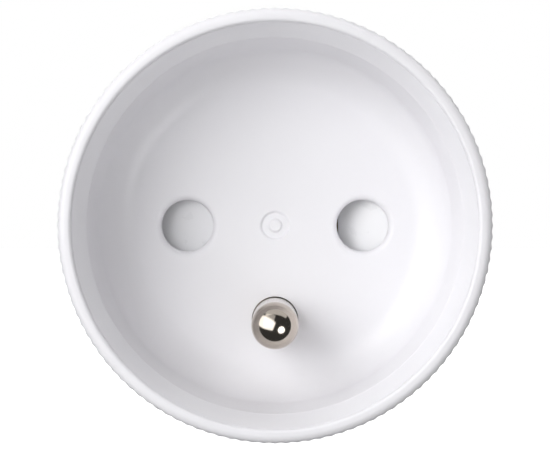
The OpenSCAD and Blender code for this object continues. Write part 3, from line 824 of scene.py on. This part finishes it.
# The shutter's spring: a wire along a helix whose end turns lie close together, with capped ends.
def shutterSpring():
    s = springShape
    steps = s["turns"] * s["stepsPerTurn"] + 1
    turn = np.linspace(0, s["turns"], steps)
    pitch = np.where((turn < s["closedTurns"]) | (turn > s["turns"] - s["closedTurns"]), s["closePitch"], 1.0)
    advance = np.concatenate([[0], np.cumsum((pitch[1:] + pitch[:-1]) / 2)])
    along = s["start"] + s["wire"] + (s["end"] - s["start"] - 2 * s["wire"]) * advance / advance[-1]
    angle, around = 2 * np.pi * turn[:, None], np.linspace(0, 2 * np.pi, s["sides"], endpoint=False)
    radius = s["radius"] + s["wire"] * np.cos(around)
    grid = np.stack([along[:, None] + s["wire"] * np.sin(around), radius * np.cos(angle),
                     s["height"] + radius * np.sin(angle)], -1)
    ends = np.stack([grid[0].mean(0), grid[-1].mean(0)])
    points = np.concatenate([grid.reshape(-1, 3), ends])
    column = np.arange(s["sides"])
    caps = [np.stack([row * s["sides"] + column, row * s["sides"] + (column + 1) % s["sides"],
                      np.full(s["sides"], tip)], -1)
            for row, tip in ((0, len(points) - 2), (steps - 1, len(points) - 1))]
    coil = gridFaces(steps, s["sides"]).reshape(-1, 4)
    piece = addPiece("return_spring", points, [coil, *caps], springSteel())
    standFor(piece, "housing", "spring_steel", "shutter_spring")
    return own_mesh(piece)


softening = {"mergeWithin": 2e-6, "flatWithin": 0.6, "sharpFrom": 32}


# A copy of a CAD node: points that lie within a distance are merged, faces that are flat within an angle
# are joined, and each edge that is sharper than an angle is rounded to a width in mm.
def softenedCopy(name, node, slotName, material, width, body="housing", segments=3):
    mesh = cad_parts[node].data.copy()
    mesh.name = name
    work = bmesh.new()
    work.from_mesh(mesh)
    bmesh.ops.remove_doubles(work, verts=work.verts, dist=softening["mergeWithin"])
    bmesh.ops.dissolve_limit(work, angle_limit=math.radians(softening["flatWithin"]), verts=work.verts,
                             edges=work.edges)
    bmesh.ops.recalc_face_normals(work, faces=work.faces)
    work.to_mesh(mesh)
    work.free()
    if "custom_normal" in mesh.attributes:
        mesh.attributes.remove(mesh.attributes["custom_normal"])
    mesh.polygons.foreach_set("use_smooth", np.full(len(mesh.polygons), True))
    mesh.set_sharp_from_angle(angle=math.radians(softening["sharpFrom"]))
    mesh.materials.clear()
    mesh.materials.append(material)
    piece = addObject(name, mesh)
    bevel = piece.modifiers.new("rounding", "BEVEL")
    bevel.width = width * mm
    bevel.segments = segments
    bevel.limit_method = "ANGLE"
    bevel.angle_limit = math.radians(softening["sharpFrom"])
    bevel.harden_normals = True
    return standFor(piece, body, slotName, node)


ribbedShell()
lightBand()
socketBowl()
earthPin()
plugPin("live_plug_pin", 1, "live_pin")
plugPin("neutral_plug_pin", -1, "neutral_pin")
shutterSpring()
print("shell, bowl, pins and spring built")

brass, copper, clips, steel = contactBrass(), earthCopper(), clipNickel(), screwSteel()
board, black = boardGreen(), switchBlack()
# Name of the copy, CAD node, slot, material, rounding in mm, then the body and the rounding's segments
# where they aren't the housing and 3.
softPieces = (
    ("safety_shutter", "shutter_slide", "shutter_plastic", shutterPlastic(), 0.25, "shutter"),
    ("shutter_retainer", "shutter_cover", "inner_plastic", innerPlastic(), 0.15),
    ("retainer_screws", "cover_screws", "screw_steel", steel, 0.08),
    ("live_sleeve", "live_contact", "contact_brass", brass, 0.08),
    ("neutral_sleeve", "neutral_contact", "contact_brass", brass, 0.08),
    ("earth_bracket", "earth_riser", "earth_copper", copper, 0.1),
    ("earth_strip", "earth_plate", "earth_copper", copper, 0.1),
    ("rear_sleeve", "rear_earth_sleeve", "contact_brass", brass, 0.1),
    ("upper_clip", "upper_earth_clip", "clip_nickel", clips, 0.12),
    ("lower_clip", "lower_earth_clip", "clip_nickel", clips, 0.12),
    ("plug_body", "plug_base", "base_plastic", basePlastic(), 0.2),
    ("lower_board", "power_board", "board_green", board, 0.06),
    ("lower_board_screws", "board_screws", "screw_steel", steel, 0.08),
    ("relay_case", "relay", "relay_black", relayBlack(), 0.25),
    ("supply_transformer", "transformer", "tape_yellow", tapeYellow(), 0.12),
    ("film_capacitor", "mains_capacitor", "capacitor_grey", capacitorGrey(), 0.25),
    ("can_capacitor", "bulk_capacitor", "capacitor_sleeve", capacitorSleeve(), 0.2),
    ("fusible_resistor", "fuse_resistor", "resistor_green", resistorGreen(), 0.2),
    ("shunt_strip", "current_shunt", "shunt_alloy", shuntAlloy(), 0.1),
    ("metering_chip", "meter_chip", "chip_black", chipBlack(), 0.06),
    ("pin_strip", "board_header", "header_pins", headerPins(), 0.06),
    ("upper_board", "control_board", "board_green", board, 0.06),
    ("shielded_module", "radio_module", "shield_tin", shieldTin(), 0.12),
    ("lamp_chips", "indicator_leds", "led_yellow", ledYellow(), 0.1),
    ("push_switch", "tact_switch", "switch_black", black, 0.15),
    ("switch_stem", "switch_plunger", "switch_black", black, 0.12, "button"),
    ("side_button", "button_cap", "housing_plastic", housing, 0.3, "button", 4))
for row in softPieces:
    softenedCopy(*row)
print("inner parts finished")


# "lift" is the camera's vertical shift, "shadowOval" the half axes in metres of the matt oval, a painted
# darker patch below the object, and "shadowEdge" the shares of them between which the glow comes in.
# "mirrorSteps" are the four Y values of the steps in the surroundings.
studio = {"cameraDistance": 0.231, "lens": 120.8, "sensor": 36.0, "nearest": 0.01, "lift": 0.0011,
          "floorHeight": -0.02202, "floorHalf": 1.5, "floorGlow": 1.05, "floorColour": (0.9, 0.9, 0.9, 1),
          "floorRoughness": 0.8, "shadowOval": (0.011, 0.034), "shadowEdge": (0.45, 1.0), "grainScale": 400,
          "grainShare": 0.04, "mirrorFront": 0.05, "mirrorSide": 0.4, "mirrorBehind": 0.05,
          "mirrorSteps": (-0.15, 0.1, 0.6, 0.9), "target": (0, -0.042, -0.01)}
# Each light: degrees off the camera's line, degrees round it (0 right, 90 up), degrees of turn about its
# own line, distance, length away from the camera's line, width, watts, and whether it lights surfaces and
# shows in mirrors.
studioLights = {"long_softbox": (43.7, 163.5, -7, 0.6, 1.05, 0.52, 1.85, True, True),
                "round_lamp": (36.5, -31.6, 0, 0.6, 0.36, 0.36, 0.36, True, False),
                "lamp_glint": (36.5, -31.6, 0, 0.58, 0.34, 0.34, 0.9, False, True),
                "softbox_glint": (44.7, 161, -3, 0.58, 1.0, 0.62, 1.7, False, True),
                "upper_left_panel": (41, 139, 34, 0.9, 0.85, 1.1, 1.6, False, True),
                "ceiling_panel": (80, 83, 0, 1.2, 1.0, 2.4, 5.2, False, True),
                "rear_panel": (160, 105, 0, 0.6, 0.9, 0.7, 2.2, True, True)}
# Round fill lights, which polished parts don't mirror: degrees off the camera's line, degrees round it,
# watts.
fillSize, fillDistance = 0.39, 0.6
fillLights = ((0, 0, 0.236), (35, 30, 0.30), (35, 150, 1.50), (35, 210, 0.14), (65, 90, 0.49),
              (65, 135, 0.50), (65, 180, 0.33), (65, 225, 0.238), (65, 270, 0.38), (65, 315, 0.08),
              (95, 22.5, 0.64), (95, 67.5, 0.90), (95, 292.5, 0.377), (95, 337.5, 0.17))


# A light on a sphere about the outlet, turned to it, its long side pointing away from the camera's line.
def addLight(name, off, around, turn, distance, length, width, watts, diffuse, mirrored):
    a, b = math.radians(off), math.radians(around)
    outward = Vector((math.sin(a) * math.cos(b), -math.cos(a), math.sin(a) * math.sin(b)))
    along = Vector((math.cos(a) * math.cos(b), math.sin(a), math.cos(a) * math.sin(b)))
    along.rotate(Matrix.Rotation(math.radians(turn), 3, outward))
    data = bpy.data.lights.new(name, "AREA")
    data.shape = "DISK" if length == width and turn == 0 else "RECTANGLE"
    data.size, data.size_y = length, width
    data.energy = watts
    light = addObject(name, data)
    light.matrix_world = Matrix.Translation(Vector(studio["target"]) + outward * distance) @ Matrix(
        (along, outward.cross(along), outward)).transposed().to_4x4()
    light.visible_camera = False
    light.visible_diffuse = diffuse
    light.visible_glossy = mirrored


# White to the camera. Polished parts mirror a dark front, a grey wall beside the object and a dark middle
# straight behind it: strength = step up across the object's own plane, times step down towards +Y.
def whiteSurroundings():
    world = bpy.data.worlds.new("surroundings")
    world.use_nodes = True
    tree = world.node_tree
    path = addNode(tree, "ShaderNodeLightPath")
    direction = addNode(tree, "ShaderNodeTexCoord").outputs["Generated"]
    along = addNode(tree, "ShaderNodeSeparateXYZ", {0: direction}).outputs["Y"]
    sideFrom, sideTo, rearFrom, rearTo = studio["mirrorSteps"]
    front, side = studio["mirrorFront"], studio["mirrorSide"]
    beside = ranged(tree, along, front, side, sideFrom, sideTo, "SMOOTHSTEP")
    behind = ranged(tree, along, 1.0, studio["mirrorBehind"], rearFrom, rearTo, "SMOOTHSTEP")
    mirrored = combined(tree, "MULTIPLY", beside, behind)
    glow = combined(tree, "MULTIPLY", path.outputs["Is Glossy Ray"], mirrored)
    inputs = {0: path.outputs["Is Camera Ray"], 2: glow, 3: 1.0}
    seen = addNode(tree, "ShaderNodeMix", inputs, data_type="FLOAT")
    setInputs(tree, tree.nodes["Background"], {"Strength": seen.outputs[0], "Color": (1, 1, 1, 1)})
    bpy.context.scene.world = world


# Pale floor that the body lies on. It glows like a light table, but for a matt oval below the object: the
# missing glow there is a painted darker patch, in which the object's own shadow also falls. glow = soft step
# over the length of (x / half width, y / half length) plus a fine grain.
def paleFloor():
    half = studio["floorHalf"]
    corners = [(-half, -half), (half, -half), (half, half), (-half, half)]
    mesh = bpy.data.meshes.new("pale_floor")
    mesh.from_pydata([(x, y, studio["floorHeight"]) for x, y in corners], [], [(0, 1, 2, 3)])
    material, tree, shader, place = startMaterial("floor_white")
    halfWidth, halfLength = studio["shadowOval"]
    near = stretched(tree, place, (1 / halfWidth, 1 / halfLength, 0))
    reach = addNode(tree, "ShaderNodeVectorMath", {0: near}, operation="LENGTH").outputs["Value"]
    grain = noiseBetween(tree, place, studio["grainScale"], -studio["grainShare"], studio["grainShare"])
    edge = combined(tree, "ADD", reach, grain)
    glow = ranged(tree, edge, 0.0, studio["floorGlow"], *studio["shadowEdge"], "SMOOTHSTEP")
    setInputs(tree, shader, {"Emission Strength": glow, "Emission Color": (1, 1, 1, 1),
                             "Base Color": studio["floorColour"], "Roughness": studio["floorRoughness"]})
    mesh.materials.append(material)
    floor = addObject("pale_floor", mesh)
    floor.visible_diffuse = False
    floor.visible_glossy = False
    floor.visible_shadow = False  # the lamps below the floor shine through it


# The camera on the outlet's axis, looking along +Y.
def addCamera():
    data = bpy.data.cameras.new("front_camera")
    data.lens, data.sensor_width, data.clip_start = studio["lens"], studio["sensor"], studio["nearest"]
    data.shift_y = studio["lift"]
    camera = addObject("front_camera", data)
    camera.location = (0, -studio["cameraDistance"], 0)
    camera.rotation_euler = (math.pi / 2, 0, 0)
    bpy.context.scene.camera = camera


for lightName, values in studioLights.items():
    addLight(lightName, *values)
for i, (off, around, watts) in enumerate(fillLights):
    addLight(f"fill_{i}", off, around, 0, fillDistance, fillSize, fillSize, watts, True, False)
whiteSurroundings()
paleFloor()
addCamera()
bpy.context.scene.view_settings.view_transform = "Standard"
print("studio ready")
